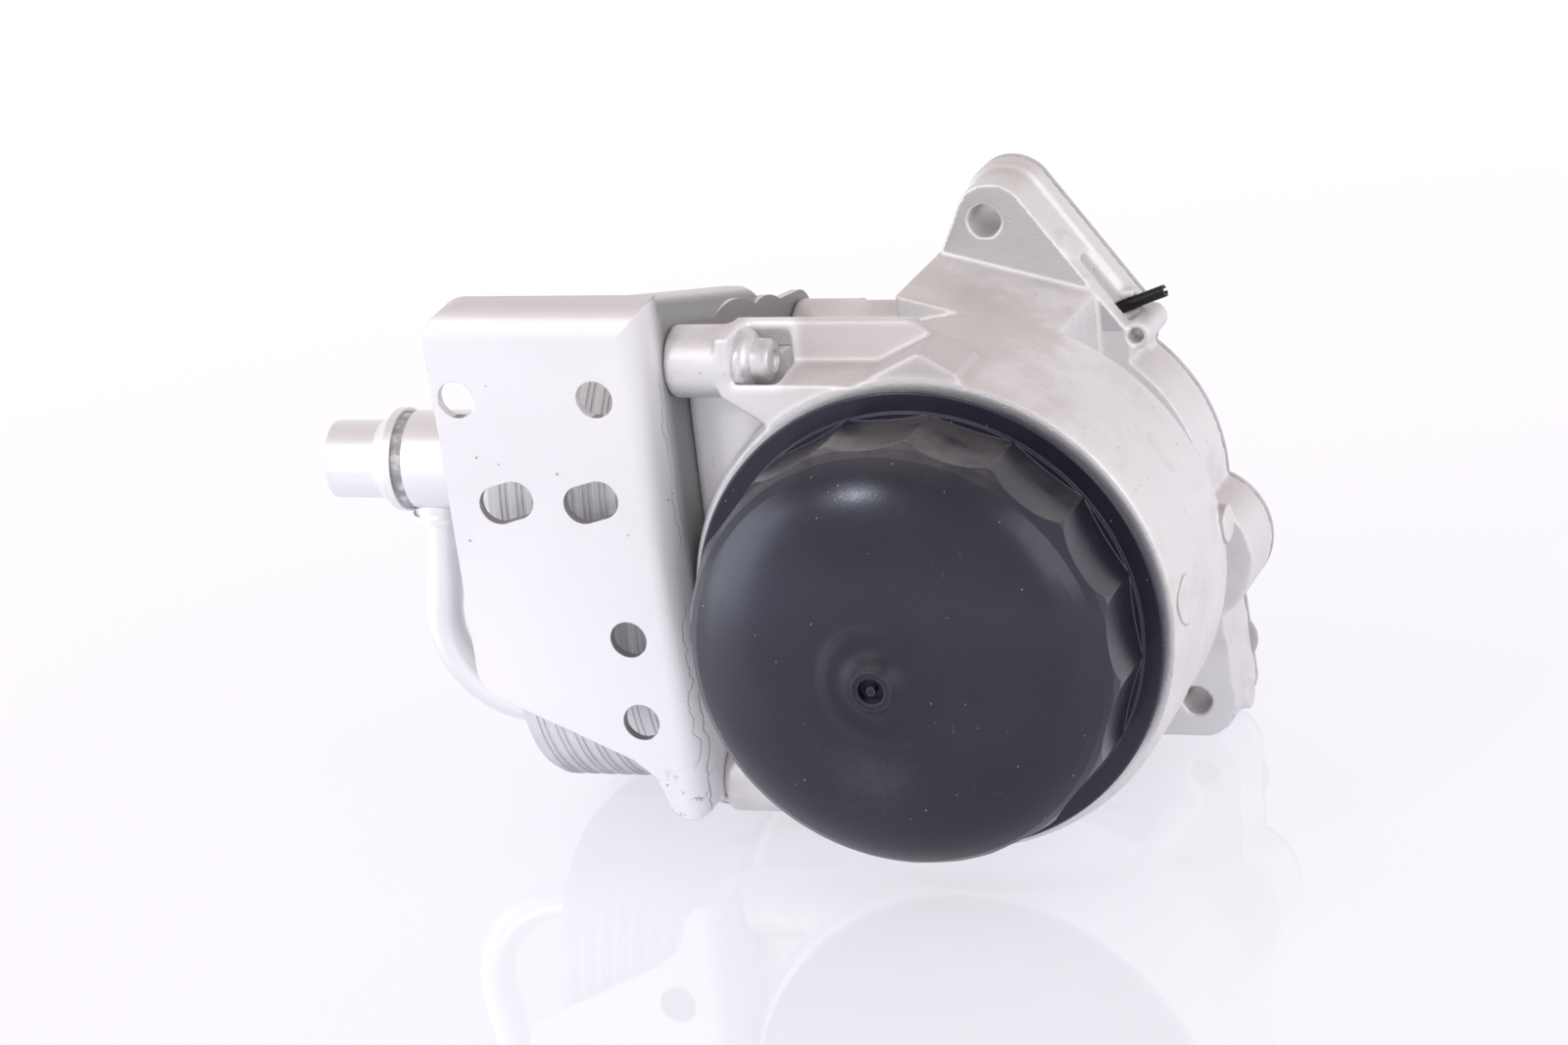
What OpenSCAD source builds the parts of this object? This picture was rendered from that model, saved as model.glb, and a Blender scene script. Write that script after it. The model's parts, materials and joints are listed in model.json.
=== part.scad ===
// Oil filter housing with a bolted-on plate oil cooler.
// The bowl lies along Y. The engine face is at y = 0 and the screw cap faces -Y.
// The cooler's bolts run along X, with the cooler on the -X side, and +Z is up.

/* [Body] */
// Depth of the body from the cap's flange to the engine face
body_depth = 93; // [90:1:98]
// Wall of the filter bowl round the cap's thread
bowl_wall = 6.6; // [5.6:0.2:8]
// Inside depth of the bowl, from the cap's flange
bowl_depth = 44; // [40:1:47]
// Thickness of the bowl's floor
floor_t = 5; // [4:0.5:6]
// Thickness of the engine flange
flange_t = 16.8; // [14:0.2:18]
// Thickness of the engine gasket
gasket_t = 1.2; // [0.6:0.2:2]
// Radius of the upper mounting hole
upper_hole_r = 3.5; // [3.2:0.1:3.8]
// Radius of the two lower mounting holes
lower_hole_r = 3.1; // [3:0.1:3.5]
// Position of the upper mounting hole across the part
upper_hole_x = -5.2; // [-7:0.2:-3]
// Height of the upper mounting hole above the bowl's axis
upper_hole_z = 60; // [58:0.5:64]
// Distance between the two lower mounting holes
lower_hole_span = 62.4; // [60:0.2:66]
// Depth of the lower mounting holes below the bowl's axis
lower_hole_drop = 46.1; // [44:0.5:48]
// Radius of the rounded ears round the lower mounting holes
ear_r = 8.2; // [7.6:0.2:8.8]
// Diameter of the slotted roll pin
pin_d = 2.6; // [2:0.2:3]
// Length of the roll pin
pin_len = 14; // [12:0.5:18]

/* [Cap] */
// Width across opposite flutes of the cap's grip
cap_flats = 86; // [84:0.5:90]
// Number of flutes
cap_flutes = 16; // [12:1:18]
// Height of the dome above the cap's flange
dome_h = 31.5; // [29:0.5:36]
// Height at which the grip turns into the dome
grip_h = 13.5; // [11:0.5:16]
// Thickness of the cap's flange
cap_flange_t = 3; // [2.4:0.2:4]
// Wall of the cap
cap_wall = 3; // [2.4:0.2:3.6]
// Length of the threaded skirt behind the flange
skirt_len = 17; // [14:1:20]
// Height of the centre nub above the dome
nub_h = 4.2; // [3:0.2:6]
// Wire diameter of the cap's O-ring
o_ring_d = 2.8; // [2.4:0.2:3.2]

/* [Filter element] */
// Outer radius of the pleats
pleat_r = 33; // [30:0.5:35]
// Number of pleats
pleat_count = 44; // [30:1:52]
// Length of the cartridge over its end discs
element_len = 58; // [52:1:60]
// Outer radius of the standpipe
standpipe_r = 8.5; // [8:0.1:9.5]
// Wall of the standpipe
standpipe_wall = 1.8; // [1.4:0.1:2.2]
// Radius of the bypass opening
bypass_r = 4.5; // [4:0.1:5]
// Travel of the bypass disc
bypass_lift = 3; // [2:0.2:4]

/* [Cooler] */
// Tilt of the cooler against the bowl, seen along X
cooler_tilt = 2.9; // [0:0.1:5]
// Depth of the front cooler bolt behind the cap's flange
front_bolt_y = 10.5; // [10:0.5:13]
// Height of the front cooler bolt above the bowl's axis
front_bolt_z = 51.2; // [50:0.2:54]
// Distance from the front bolt down to the lower bolt
lower_bolt_drop = 91.4; // [88:0.2:94]
// Distance from the front bolt back to the rear bolt
rear_bolt_back = 69.8; // [67:0.2:70]
// Distance from the front bolt's height down to the rear bolt
rear_bolt_drop = 20.8; // [19:0.2:24]
// Radius of the bolt bosses
boss_r = 7.3; // [6.8:0.1:7.8]
// Length of the bolt bosses
boss_len = 14.3; // [12:0.5:16]
// Number of plates in the stack
plate_count = 10; // [7:1:11]
// Pitch of the plates
plate_pitch = 3.65; // [3.2:0.05:3.8]
// Thickness of the pressed bracket
sheet_t = 2; // [1.6:0.1:2.4]
// Outside radius of the bracket's folds
fold_r = 6; // [5:0.2:7]
// Radius of the round holes in the bracket's cover
punch_r = 3.9; // [3.4:0.1:4.4]
// Outer radius of the hose tube
spigot_r = 8.2; // [7.6:0.1:8.8]
// Length of the hose tube
spigot_len = 13; // [11:0.5:16]
// Outer radius of the bent coolant pipe
pipe_r = 4; // [3.6:0.1:4.4]
// Bend radius of the coolant pipe, at its centre line
pipe_bend_r = 19.5; // [18:0.5:21]

/* [Hidden] */
$fn = 96;
eps = 0.01;
run_gap = 0.08;
thread_gap = 0.3;
side_sink = 0.03;

// Bowl and cap radii follow from the grip and the wall
bore_r = cap_flats / 2 + 0.2;
bowl_r = bore_r + bowl_wall;
mouth_y = cap_flange_t;
band_y = bowl_depth * 0.56;
band_step = 0.8;
inner_r = bore_r - 2.4;
thread_len = skirt_len + 2;
cap_flange_r = bowl_r - 1.6;
skirt_r = bore_r - thread_gap;
dome_r = cap_flats / 2 + 1.2;
dome_power = 2.3;
flute_r = 80;
flute_sink = 0.1;
nub_r = 4.4;
nub_foot_r = 12;
groove_y = cap_flange_t + 1.6;
groove_w = o_ring_d + 0.4;
o_ring_r = bore_r - run_gap - o_ring_d / 2;

// Depths along the body
casting_back = body_depth - gasket_t;
flange_y = casting_back - flange_t;
floor_back = bowl_depth + floor_t;

// The casting's face for the cooler stands just outside the bowl
pad_x = -(bowl_r + 1);
pad_t = 5;
web_y = front_bolt_y + 4;
gallery_r = 6.5;
feed_x = -24;
feed_y = 64;
feed_z = 12;
return_y = 57;
return_z = -18;
seal_r = gallery_r + 2.6;
seal_d = 2.2;

// Mounting ears
upper_hole = [upper_hole_x, upper_hole_z];
right_hole = [lower_hole_span / 2, -lower_hole_drop];
left_hole = [-lower_hole_span / 2, -lower_hole_drop];
port_r = 7;
band_t = 5.4;
ear_hole = [24.9, 34.6];
pin_out = 6.2;

// Cartridge and standpipe
foot_r = 13;
foot_t = 2.4;
membrane_t = 1;
element_front = bowl_depth - membrane_t - foot_t - 0.3 - element_len;
disc_t = 2;
disc_r = pleat_r + 1;
core_r = standpipe_r + 4.7;
core_wall = 1.2;
pipe_bore_r = standpipe_r - standpipe_wall;
pipe_front = element_front - 3;
seat_t = 2;
disc_thick = 1.6;
spring_len = bypass_lift + 6;
spring_wire = 0.8;
retainer_t = 1.6;

// Cooler outline in its own frame: v runs back and w runs up, from the front bolt
front_r = 33;
rear_r = 20;
top_slope = 0.33;
low_front = [27.2, 22.6 - lower_bolt_drop];
high_front = [27.2, -33.2];
high_rear = [48, high_front[1] + 13.7 - 20.8 * top_slope];
low_rear = [48, low_front[1] - 13];
base_t = 3.4;
end_t = 1.6;
rim_inset = 0.25;
cover_v = -14;
cover_w = 47.6;
cover_top = 16.1;
cover_tip = -(lower_bolt_drop + 3.8);
lip_len = 2.5;
stack_x = -(sheet_t + base_t);
end_x = stack_x - plate_count * plate_pitch;
tip_x = end_x - end_t;
port_v = 16;
port_w = -28;
bolt_points = [[0, 0], [0, -lower_bolt_drop], [rear_bolt_back, -rear_bolt_drop]];
socket_r = 10.3;
socket_len = 23.6;
plug_r = spigot_r - 0.6;
ring_x = tip_x - socket_len;
collar_x = ring_x + 3.6;
nut_r = 5.8;
head_r = 4.6;
pipe_lean = 10;
pipe_drop = pipe_bend_r * (1 - sin(pipe_lean));
pipe_low = port_w - 33;
outlet_v = 56;
outlet_w = -58;
outlet_r = 6.2;

// A point on a circle, and the points of an arc
function polar(r, a) = [r * cos(a), r * sin(a)];
function arc(c, r, a0, a1, n = 6) = [for (i = [0 : n]) c + polar(r, a0 + (a1 - a0) * i / n)];

// The straight sides that join two circles, a hair inside them
function sides(a, ra, b, rb) =
    let (d = b - a, t = atan2(d[1], d[0]), s = acos((ra - rb) / norm(d)))
    [a + polar(ra, t + s), b + polar(rb, t + s), b + polar(rb, t - s), a + polar(ra, t - s)];

module strap(a, ra, b, rb) {
    translate(a) circle(ra);
    translate(b) circle(rb);
    polygon(sides(a, ra - side_sink, b, rb - side_sink));
}

// Depth is counted from the cap's flange, towards the engine
module from_front() {
    translate([0, -body_depth, 0]) children();
}

module along_y(y0, y1) {
    for (i = [0 : $children - 1])
        translate([0, y1, 0]) rotate([90, 0, 0]) linear_extrude(y1 - y0) children(i);
}

module along_x(x0, x1) {
    for (i = [0 : $children - 1])
        translate([x0, 0, 0]) rotate([90, 0, 90]) linear_extrude(x1 - x0) children(i);
}

module revolve_y() {
    rotate([-90, 0, 0]) rotate_extrude() children();
}

module rod_y(r, y0, y1, at = [0, 0]) {
    translate([at[0], 0, at[1]]) along_y(y0, y1) circle(r);
}

module rod_x(r, x0, x1, at = [0, 0]) {
    translate([0, at[0], at[1]]) along_x(x0, x1) circle(r);
}

// The cooler's own frame, with its origin at the front bolt on the casting's face
module cooler_frame() {
    from_front() translate([pad_x, front_bolt_y, front_bolt_z]) rotate([cooler_tilt, 0, 0]) children();
}

// Casting

module bowl_outside() {
    revolve_y() polygon(concat(
        [[0, mouth_y], [bowl_r - 0.3, mouth_y], [bowl_r, mouth_y + 0.5]],
        [[bowl_r + band_step, mouth_y + 3], [bowl_r + band_step - 0.3, band_y]],
        [[bowl_r, band_y + 1], [bowl_r - 0.3, floor_back - 6]],
        arc([bowl_r - 6.3, floor_back - 6], 6, 0, 90),
        [[0, floor_back]]));
}

module bowl_inside() {
    revolve_y() polygon([[0, mouth_y - 1], [bore_r + 0.8, mouth_y - 1], [bore_r + 0.8, mouth_y],
        [bore_r, mouth_y + 0.8], [bore_r, mouth_y + thread_len], [inner_r, mouth_y + thread_len + 2],
        [inner_r, bowl_depth], [0, bowl_depth]]);
}

module engine_slab(y0, y1, grow = 0) {
    crown = upper_hole + [1.6, 0.3];
    ear = right_hole + [0.5, 0];
    along_y(y0, y1) {
        circle(37.5);
        translate([31.7, -14]) circle(14.3);
        strap(ear, ear_r, [right_hole[0] - 0.3, -22], ear_r - 0.6);
        strap(ear, ear_r, left_hole, ear_r);
        strap(left_hole, ear_r, [-30, -10], 12);
        strap(crown, 7.9 + grow, [14.5, 32.5], 9.4 + grow);
        strap(crown, 7.9 + grow, [-17, 36], 6 + grow);
        polygon([crown, [14.5, 32.5], [0, 0], [-17, 36]]);
    }
}

module engine_ports() {
    circle(port_r);
    translate([feed_x, feed_z]) circle(port_r);
}

module mount_holes() {
    translate(upper_hole) circle(upper_hole_r);
    translate(right_hole) circle(lower_hole_r);
    translate(left_hole) circle(lower_hole_r);
}

// Lightening pockets between the ports and the ears, open to the engine side
module face_pockets(y0, y1) {
    difference() {
        intersection() {
            along_y(y0, y1) {
                strap(polar(16, -75), 6, polar(28, -75), 7);
                strap(polar(16, -20), 5, polar(27, -20), 6);
                strap(polar(16, 35), 5, polar(27, 35), 6);
                strap(polar(18, 80), 5, polar(27, 80), 6);
            }
            rod_y(33, y0, y1);
        }
        rod_y(port_r + 3, y0 - 1, y1 + 1);
        rod_y(port_r + 3, y0 - 1, y1 + 1, [feed_x, feed_z]);
    }
}

module cooler_boss(at, back_x) {
    rod_x(boss_r, 0, boss_len, at);
    rod_x(boss_r + 0.2, boss_len - eps, back_x, at);
}

// Bosses and rails for the three cooler bolts
module cooler_bosses() {
    translate([pad_x, front_bolt_y, front_bolt_z]) rotate([cooler_tilt, 0, 0]) {
        cooler_boss(bolt_points[0], boss_len + 0.1);
        cooler_boss(bolt_points[1], 34);
        cooler_boss(bolt_points[2], 50);
    }
}

// The front rail ties the first boss to the top of the bowl
module front_rail() {
    top = front_bolt_z + boss_r - 0.3;
    low = front_bolt_z - 5.4;
    front = front_bolt_y - boss_r + 0.2;
    along_y(front, front_bolt_y + boss_r)
        polygon([[pad_x + boss_len - 3, top], [-2, top], [10, bowl_r + 1], [14, bowl_r - 8],
            [-24, bowl_r - 14], [pad_x + boss_len - 3, low]]);
}

// Trough for the front bolt's head, open to the front and top, with a slanted end
module bolt_trough() {
    y = front_bolt_y;
    z = front_bolt_z;
    intersection() {
        along_x(pad_x + boss_len, 10)
            polygon([[y - 9, z - 2.9], [y + 2.9, z - 1.8], [y + 3.9, z - 1.2], [y + 4.8, z + 9],
                [y - 9, z + 9]]);
        along_y(0, y + 9)
            polygon([[pad_x, z - 9], [-16, z - 9], [-12, z - 3], [9, z + 7], [9, z + 10], [pad_x, z + 10]]);
    }
}

// Flat web and pad plate between the bowl and the cooler
module cooler_pad() {
    along_y(web_y, web_y + 4)
        polygon([[pad_x, -30], [pad_x, front_bolt_z - 5], [-20, front_bolt_z - 5], [-20, -40],
            [pad_x + 8, -40]]);
    along_x(pad_x, pad_x + pad_t)
        polygon([[web_y, -30], [web_y, 44], [flange_y, 36], [casting_back - 8, 30],
            [casting_back - 8, -24], [web_y + 20, -34]]);
    along_x(pad_x, -20) {
        strap([feed_y, feed_z], 11, [return_y, return_z], 11);
        strap([feed_y, feed_z], 11, [flange_y, 20], 11);
    }
}

module neck() {
    along_y(floor_back - 2, flange_y + 1) {
        circle(31);
        polygon([[-16.5, 53.1], [17, 44.3], [17, 0], [-16.5, 0]]);
    }
    // Ribs from the bowl's back to the lower ears
    for (p = [right_hole, left_hole])
        along_y(floor_back - 2, flange_y + 1) strap([0, 0], 3, p * 0.86, 3);
}

// Round ejector pads that the die leaves
module die_pads() {
    rod_x(4.1, bowl_r - 4, bowl_r + 0.9, [bowl_depth, 5.5]);
    rod_x(5, bowl_r - 2, bowl_r + band_step + 0.2, [mouth_y + 6, 2.5]);
    rod_x(3.4, 34, right_hole[0] + ear_r + 1.1, [casting_back - 7, -48]);
    lug_flank() translate([-2.8, -1.5, -4]) cylinder(h = 5, r = 3.3);
    // Small ear and pin boss at the end of the lug's flank
    rod_y(3, flange_y + 0.8, casting_back - 1, ear_hole);
    roll_pin_place() cylinder(h = pin_len - pin_out, r = 3);
}

// Frame on the upper lug's right flank, with its z axis out of the metal
module lug_flank() {
    translate([12.6, flange_y + 6, 50.6]) rotate([0, 54, 0]) children();
}

module casting_cuts() {
    bowl_inside();
    bolt_trough();
    along_y(flange_y - 1, body_depth) mount_holes();
    // Spot face in front of the upper hole
    along_y(flange_y - 14, flange_y) polygon([[-26, 56.1], [-26, 80], [30, 80], [30, 41.4]]);
    // Oil passages
    rod_y(pipe_bore_r, bowl_depth - 1, flange_y + eps);
    rod_y(port_r, flange_y, body_depth);
    rod_y(gallery_r, feed_y, flange_y + eps, [feed_x, feed_z]);
    rod_y(port_r, flange_y, body_depth, [feed_x, feed_z]);
    rod_x(gallery_r, pad_x - 1, feed_x, [feed_y, feed_z]);
    rod_x(gallery_r, pad_x - 1, -28, [return_y, return_z]);
    rod_y(gallery_r, bowl_depth - 1, return_y, [-28, return_z]);
    // Seal grooves round the ports in the pad
    for (p = [[feed_y, feed_z], [return_y, return_z]]) {
        translate([pad_x, p[0], p[1]]) rotate([0, 90, 0]) rotate_extrude()
            translate([seal_r - 1.4, -1]) square([2.8, 1 + seal_d - 0.4]);
    }
    translate([pad_x, front_bolt_y, front_bolt_z]) rotate([cooler_tilt, 0, 0]) {
        for (p = bolt_points) {
            rod_x(3.3, -1, boss_len + 1, p);
            rod_x(6.9, boss_len, boss_len + (p == bolt_points[0] ? 9 : 27), p);
        }
        // The rear bolt is put in from the engine side
        translate([boss_len, rear_bolt_back, -rear_bolt_drop - 6.9]) cube([27, 30, 13.8]);
    }
    face_pockets(casting_back - 9, body_depth);
}

// Trough, ear hole and pin hole along the upper lug's right flank, and a notch beside a pad
module flank_cuts() {
    lug_flank() translate([0.5, -1.4, -3]) cube([17, 5.4, 9]);
    rod_y(1.6, flange_y, flange_y + 5, ear_hole);
    roll_pin_place() cylinder(h = pin_len + 1, r = pin_d / 2 + 0.02);
    translate([bowl_r, bowl_depth - 6.4, 3]) rotate([45, 0, 0]) cube([2.4, 2.2, 2.2], center = true);
}

module roll_pin_place() {
    translate([23.2, flange_y + 11, 39.2]) rotate([0, 70.3, 0])
        translate([0, 0, pin_out - pin_len]) children();
}

module casting_blank() {
    bowl_outside();
    neck();
    engine_slab(flange_y, casting_back - band_t + eps);
    engine_slab(casting_back - band_t, casting_back, 1.2);
    cooler_bosses();
    front_rail();
    cooler_pad();
    die_pads();
}

module housing_casting() {
    color("#cfcac8") from_front() difference() {
        union() casting_blank();
        casting_cuts();
        flank_cuts();
    }
}

module engine_gasket() {
    color("#55585c") from_front() difference() {
        union() {
            engine_slab(casting_back, body_depth, 1.2);
            rod_y(6, casting_back, body_depth, [34.6, -38.5]);
        }
        along_y(casting_back - 1, body_depth + 1) {
            engine_ports();
            mount_holes();
        }
        face_pockets(casting_back - 1, body_depth + 1);
    }
}

module roll_pin() {
    color("#202022") from_front() roll_pin_place() difference() {
        cylinder(h = pin_len, r = pin_d / 2);
        translate([0, 0, -1]) cylinder(h = pin_len + 2, r = pin_d / 2 - 0.6);
        translate([-0.3, 0, -1]) cube([0.6, pin_d, pin_len + 2]);
    }
}

// Cap

function dome_point(a, r, h) =
    [r * pow(cos(a), 2 / dome_power), -grip_h - (h - grip_h) * pow(sin(a), 2 / dome_power)];

function dome_curve(r, h, n = 14) = [for (i = [0 : n]) dome_point(90 * i / n, r, h)];

module cap_shell() {
    top = -dome_h - nub_h;
    foot = dome_point(72, dome_r, dome_h)[1];
    union() {
        revolve_y() difference() {
            polygon(concat([[0, cap_flange_t], [cap_flange_r - 1, cap_flange_t],
                [cap_flange_r - 1, 1.6], [cap_flange_r, 1.4], [cap_flange_r, 0.3],
                [cap_flange_r - 0.3, 0], [dome_r, 0]], dome_curve(dome_r, dome_h)));
            polygon(concat([[0, cap_flange_t + 1], [skirt_r - cap_wall, cap_flange_t + 1]],
                dome_curve(dome_r - cap_wall - 1.2, dome_h - cap_wall)));
        }
        // Cone and nub in the middle of the dome
        revolve_y() polygon([[0, -dome_h + 1], [nub_foot_r, -dome_h + 0.4],
            [nub_foot_r - 1, -dome_h - 0.3], [nub_r + 2.6, -dome_h - 1.3],
            [nub_r + 0.7, -dome_h - 2.8], [nub_r, top + 0.4], [nub_r - 0.4, top], [0, top]]);
        // Threaded skirt
        revolve_y() difference() {
            translate([skirt_r - cap_wall, cap_flange_t - 0.2]) square([cap_wall, skirt_len + 0.2]);
            translate([o_ring_r - o_ring_d / 2 - run_gap, groove_y]) square([9, groove_w]);
        }
    }
}

module filter_cap() {
    step = 360 / cap_flutes;
    color("#3b3c40") from_front() difference() {
        cap_shell();
        for (i = [0 : cap_flutes - 1])
            rod_y(flute_r, -grip_h - 12, -0.9, polar(cap_flats / 2 - flute_sink + flute_r, (i + 0.18) * step));
        // Moulded recess in the nub, with its pip
        revolve_y() translate([0.9, -dome_h - nub_h - 1]) square([1.8, 3.4]);
    }
}

module cap_o_ring() {
    color("#1c1c1e") from_front() revolve_y()
        translate([o_ring_r, groove_y + groove_w / 2]) circle(o_ring_d / 2, $fn = 48);
}

// Cartridge

module filter_pleats() {
    step = 360 / pleat_count;
    inner = core_r + core_wall / 2 + 0.4;
    half = 0.9;
    color("#d9c48f") from_front() along_y(element_front + disc_t, element_front + element_len - disc_t)
        difference() {
            polygon([for (i = [0 : 2 * pleat_count - 1])
                polar(i % 2 == 0 ? pleat_r : inner + 2 * half, i * step / 2)]);
            polygon([for (i = [0 : 2 * pleat_count - 1])
                polar(i % 2 == 0 ? pleat_r - 2 * half * 6 : inner, i * step / 2)]);
        }
}

module element_disc(y0) {
    color("#4d5a3f") from_front() along_y(y0, y0 + disc_t) difference() {
        circle(disc_r);
        circle(standpipe_r + 2);
    }
}

module element_front_disc() {
    element_disc(element_front);
}

module element_rear_disc() {
    element_disc(element_front + element_len - disc_t);
}

module element_core_tube() {
    y0 = element_front + disc_t;
    y1 = element_front + element_len - disc_t;
    color("#c9c9c4") from_front() difference() {
        rod_y(core_r, y0, y1);
        rod_y(core_r - core_wall, y0 - 1, y1 + 1);
        for (i = [0 : 4], k = [0 : 2])
            translate([0, y0 + 7 + i * (y1 - y0 - 14) / 4, 0]) rotate([0, k * 60 + (i % 2) * 30, 0])
                cylinder(h = 3 * core_r, r = 2, center = true);
    }
}

module element_seal(y0) {
    color("#26262a") from_front() revolve_y() polygon([[standpipe_r + run_gap, y0 + 0.6],
        [standpipe_r + 1, y0], [standpipe_r + 2, y0], [standpipe_r + 2, y0 + disc_t],
        [standpipe_r + 1, y0 + disc_t], [standpipe_r + run_gap, y0 + disc_t - 0.6]]);
}

module element_front_seal() {
    element_seal(element_front);
}

module element_rear_seal() {
    element_seal(element_front + element_len - disc_t);
}

// Standpipe and valves

module standpipe() {
    color("#2f3034") from_front() difference() {
        union() {
            rod_y(standpipe_r, pipe_front, bowl_depth);
            rod_y(foot_r, bowl_depth - membrane_t - foot_t, bowl_depth - membrane_t);
            rod_y(pipe_bore_r - run_gap, bowl_depth - eps, bowl_depth + 8);
        }
        rod_y(pipe_bore_r, pipe_front + seat_t, bowl_depth - 2);
        rod_y(pipe_bore_r - 1.6, bowl_depth - 3, bowl_depth + 9);
        rod_y(bypass_r, pipe_front - 1, pipe_front + seat_t + 1);
        // Groove for the seal on the spigot in the bowl's floor
        revolve_y() translate([pipe_bore_r - 1.2, bowl_depth + 3]) square([3, 1.8]);
        // Windows for the clean oil
        for (y = [bowl_depth - 34, bowl_depth - 22, bowl_depth - 12], a = [0, 90])
            translate([0, y, 0]) rotate([0, a, 0]) cylinder(h = 40, r = 3, center = true);
    }
}

module standpipe_seal() {
    color("#1c1c1e") from_front() revolve_y()
        translate([pipe_bore_r - run_gap - 0.5, bowl_depth + 3.9]) circle(0.55, $fn = 32);
}

module anti_drain_membrane() {
    color("#3a3024") from_front() along_y(bowl_depth - membrane_t, bowl_depth) difference() {
        circle(inner_r - 1.5);
        circle(standpipe_r + 0.05);
    }
}

module bypass_disc() {
    y0 = pipe_front + seat_t;
    color("#b9a05a") from_front() union() {
        rod_y(pipe_bore_r - 0.9, y0, y0 + disc_thick);
        rod_y(1.4, y0 + disc_thick - eps, y0 + spring_len + retainer_t + 1);
        rod_y(bypass_r - 0.4, y0 - 0.8, y0 + eps);
    }
}

module bypass_spring() {
    y0 = pipe_front + seat_t + disc_thick;
    turns = 6;
    length = spring_len - disc_thick;
    color("#9a9a9e") from_front() union() {
        for (i = [0 : turns - 1]) {
            revolve_y() translate([3.4, y0 + spring_wire / 2 + i * (length - spring_wire) / (turns - 1)])
                circle(spring_wire / 2, $fn = 24);
        }
        rod_y(spring_wire / 2 - 0.05, y0 + spring_wire / 2, y0 + length - spring_wire / 2, [3.4, 0]);
    }
}

module bypass_retainer() {
    y0 = pipe_front + seat_t + spring_len;
    color("#8d9094") from_front() along_y(y0, y0 + retainer_t) difference() {
        circle(pipe_bore_r - 0.05);
        circle(1.7);
        for (a = [30 : 120 : 270]) translate(polar(4.6, a)) circle(1.2);
    }
}

// Cooler

// A cooler plate: a rounded trapezium, lower at the back
module plate_slab(x0, x1, inset = 0) {
    rf = front_r - inset;
    rr = rear_r - inset;
    along_x(x0, x1) {
        strap(low_front, rf, high_front, rf);
        strap(high_front, rf, high_rear, rr);
        strap(high_rear, rr, low_rear, rr);
        strap(low_rear, rr, low_front, rf);
        polygon([low_front, high_front, high_rear, low_rear]);
    }
}

// Height of the bracket's top edge at a depth v
function rim_w(v) = 14 - 0.335 * v;

// Profile of a fold: a straight lip, a quarter bend and its start on the other side
module fold_profile(lip, down) {
    translate([-fold_r, -fold_r]) intersection() {
        difference() {
            circle(fold_r);
            circle(fold_r - sheet_t);
        }
        square(fold_r);
    }
    translate([-fold_r - lip, -sheet_t]) square([lip + 0.01, sheet_t]);
    translate([-sheet_t, -fold_r - down]) square([sheet_t, down + 0.01]);
}

// Outline of the bracket's flat cover, seen from the front
module cover_outline() {
    left = -cover_w;
    corner = 7;
    foot = lower_bolt_drop;
    translate([left + corner, cover_top - corner]) circle(corner);
    translate([left + corner, -62.4]) circle(corner);
    translate([-4.8, cover_tip + 5]) circle(5);
    polygon([[left, cover_top - corner], [left + corner, cover_top], [1, cover_top],
        [1, cover_tip + 5], [-4.8, cover_tip], [-9.4, cover_tip + 3.5], [-11.4, 5.6 - foot],
        [-16, 9.6 - foot], [left + 5.2, -69.2], [left, -62.4]]);
}

// One of the two nested shapes whose difference is the pressed cover
module cover_block(inset) {
    r = fold_r - inset;
    front = cover_v + inset;
    back = cover_v + fold_r + lip_len;
    top = cover_top - inset;
    intersection() {
        along_x(-80, 0) union() {
            translate([front + r, top - r]) circle(r);
            translate([front, -120]) square([back - front + inset, 120 + top - r]);
            translate([front + r, top - 2 * r]) square([back - front - r + inset, 2 * r]);
        }
        translate([0, 0, -120]) linear_extrude(160) union() {
            translate([-inset - r, front + r]) circle(r);
            translate([-80, front]) square([80 - inset - r, back - front + inset]);
            translate([-inset - 2 * r, front + r]) square([2 * r, back - front - r + inset]);
        }
    }
}

module cover_holes() {
    for (p = [[-42.4, -2.8], [-12.5, -2.8], [-13, -54.9], [-12.9, -73.3]]) translate(p) circle(punch_r);
}

module oval_holes() {
    for (p = [[-35, -25.1], [-16.6, -24.9]])
        translate([p[0], 0, p[1]]) rotate([0, -16, 0]) along_y(cover_v - 1, cover_v + sheet_t + 1)
            strap([-1.9, 0], 4.1, [1.9, 0], 4.1);
}

// Mounting flange of the bracket, with an ear at each bolt
module bracket_flange() {
    front = cover_v + fold_r;
    r = bolt_points[2];
    rim = rim_w(54) - fold_r + 0.5;
    along_x(-sheet_t, 0) {
        strap(low_front, front_r + 1, high_front, front_r + 1);
        strap(low_rear, rear_r + 1, low_front, front_r + 1);
        strap(high_rear, rear_r + 1, low_rear, rear_r + 1);
        strap(r, 9.2, high_rear, rear_r - 1);
        strap([0, 1 - lower_bolt_drop], 7, [low_front[0], low_front[1] + 4], front_r - 4);
        polygon([[front - 0.01, rim_w(front) - fold_r], [54, rim], r, low_rear, low_front,
            [0, cover_tip], [front - 0.01, cover_tip + 2]]);
    }
}

// The flange's top edge is folded over the stack
module bracket_rim() {
    lean = atan(0.335);
    length = 61;
    start = cover_v + fold_r + lip_len - 0.4;
    translate([0, start, rim_w(start)]) rotate([90 + lean, 0, 180])
        mirror([1, 0, 0]) linear_extrude(length) fold_profile(lip_len, 1);
}

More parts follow.
